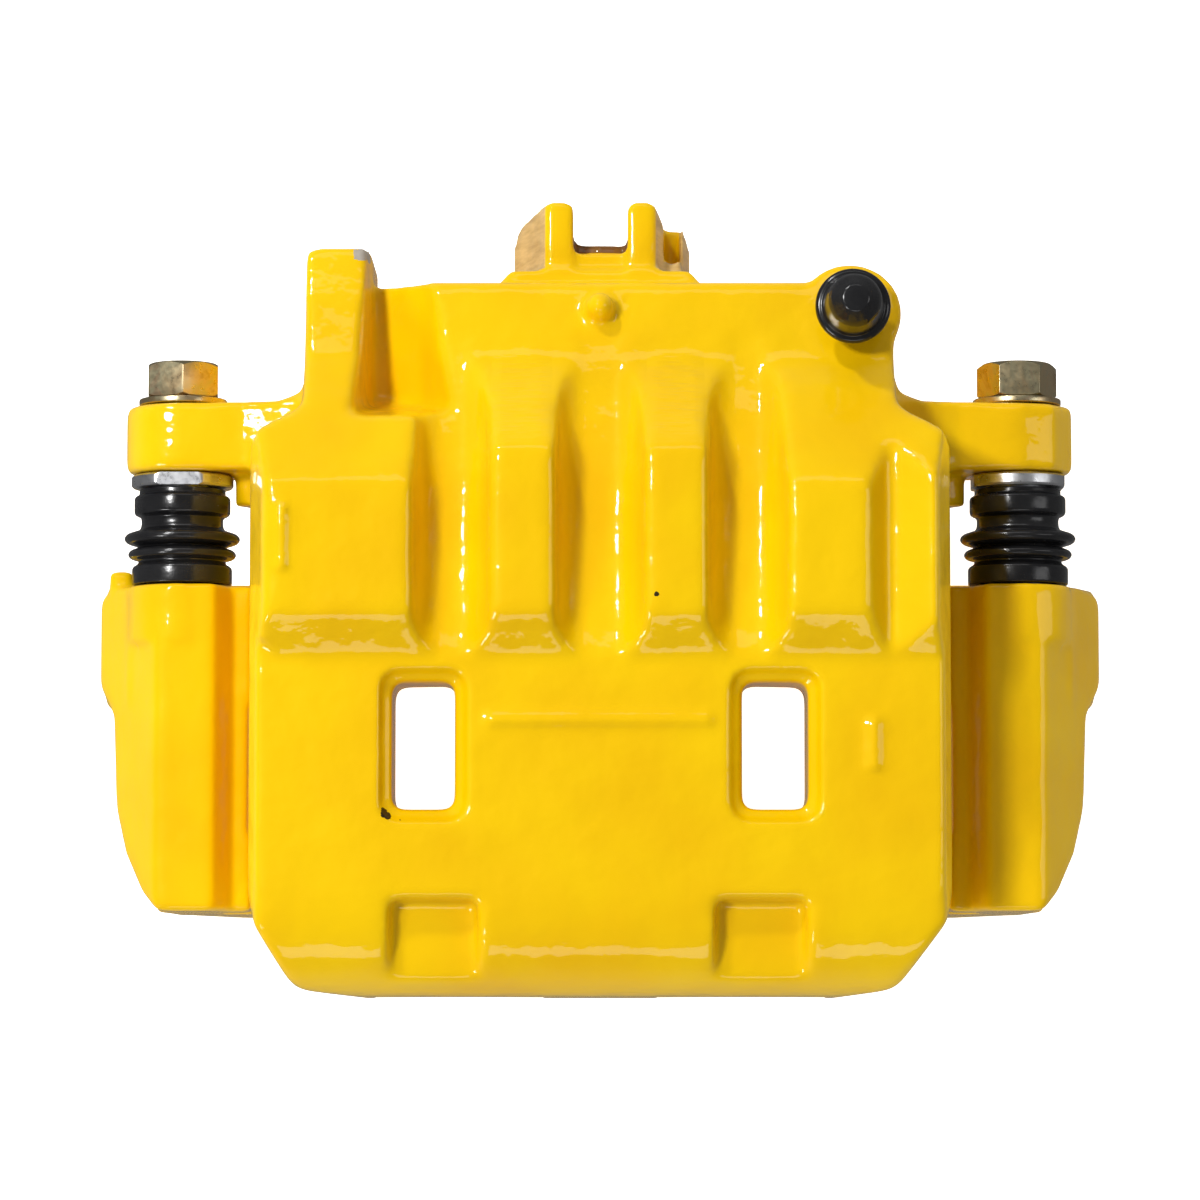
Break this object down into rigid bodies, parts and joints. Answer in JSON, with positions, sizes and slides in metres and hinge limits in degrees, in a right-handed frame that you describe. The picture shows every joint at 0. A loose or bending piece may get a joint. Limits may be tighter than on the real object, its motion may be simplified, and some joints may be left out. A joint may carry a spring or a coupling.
{
  "type": "brake caliper",
  "caption": "Floating brake caliper with a carrier bracket, guide pins in rubber bellows, paired steel pistons and a capped bleeder, cast iron painted gloss yellow",
  "frame": {"origin": "centre of the bounding box in plan, on the bracket's lowest face", "axes": "X along the disc's rim with the bleeder at +X, +Y inboard towards the pistons, +Z away from the disc's axis"},
  "size_m": [0.203, 0.16, 0.0984],
  "materials": {
    "cast_paint": "gloss",
    "rubber": "satin",
    "yellow_zinc": "yellow zinc plate",
    "silver_zinc": "clear zinc plate",
    "piston_steel": "ground",
    "stainless": "bright"
  },
  "bodies": {
    "bracket_body": {"bracket": "cast_paint", "pad_clip_outer_left": "stainless", "pad_clip_outer_right": "stainless", "pad_clip_inner_left": "stainless", "pad_clip_inner_right": "stainless", "guide_pin_boot_left": "rubber", "guide_pin_boot_right": "rubber"},
    "housing_body": {"housing": "cast_paint", "guide_pin_left": "silver_zinc", "guide_pin_right": "silver_zinc", "guide_pin_sleeve": "rubber", "guide_bolt_left": "yellow_zinc", "guide_bolt_right": "yellow_zinc", "guide_bolt_washer_left": "yellow_zinc", "guide_bolt_washer_right": "yellow_zinc", "piston_seal_left": "rubber", "piston_seal_right": "rubber", "piston_dust_boot_left": "rubber", "piston_dust_boot_right": "rubber", "dust_boot_ring_left": "stainless", "dust_boot_ring_right": "stainless"},
    "piston_left_body": {"piston_left": "piston_steel"},
    "piston_right_body": {"piston_right": "piston_steel"},
    "bleeder_screw_body": {"bleeder_screw": "yellow_zinc"},
    "bleeder_cap_body": {"bleeder_cap": "rubber"}
  },
  "joints": [
    {"name": "housing_slide", "type": "slide", "parent": "bracket_body", "child": "housing_body", "axis": [0, 1, 0], "range_m": [-0.006, 0.012], "deforming": ["guide_pin_boot_left", "guide_pin_boot_right"]},
    {"name": "piston_left_slide", "type": "slide", "parent": "housing_body", "child": "piston_left_body", "axis": [0, -1, 0], "range_m": [-0.001, 0.022], "deforming": ["piston_dust_boot_left"]},
    {"name": "piston_right_slide", "type": "slide", "parent": "housing_body", "child": "piston_right_body", "axis": [0, -1, 0], "range_m": [-0.001, 0.022], "deforming": ["piston_dust_boot_right"]},
    {"name": "bleeder_turn", "type": "hinge", "parent": "housing_body", "child": "bleeder_screw_body", "pos_m": [0.05, 0.056, 0.084], "axis": [0, 0, 1], "range_deg": [0, 180]},
    {"name": "bleeder_cap_pull", "type": "slide", "parent": "bleeder_screw_body", "child": "bleeder_cap_body", "axis": [0, 0, 1], "range_m": [0, 0.014]}
  ]
}
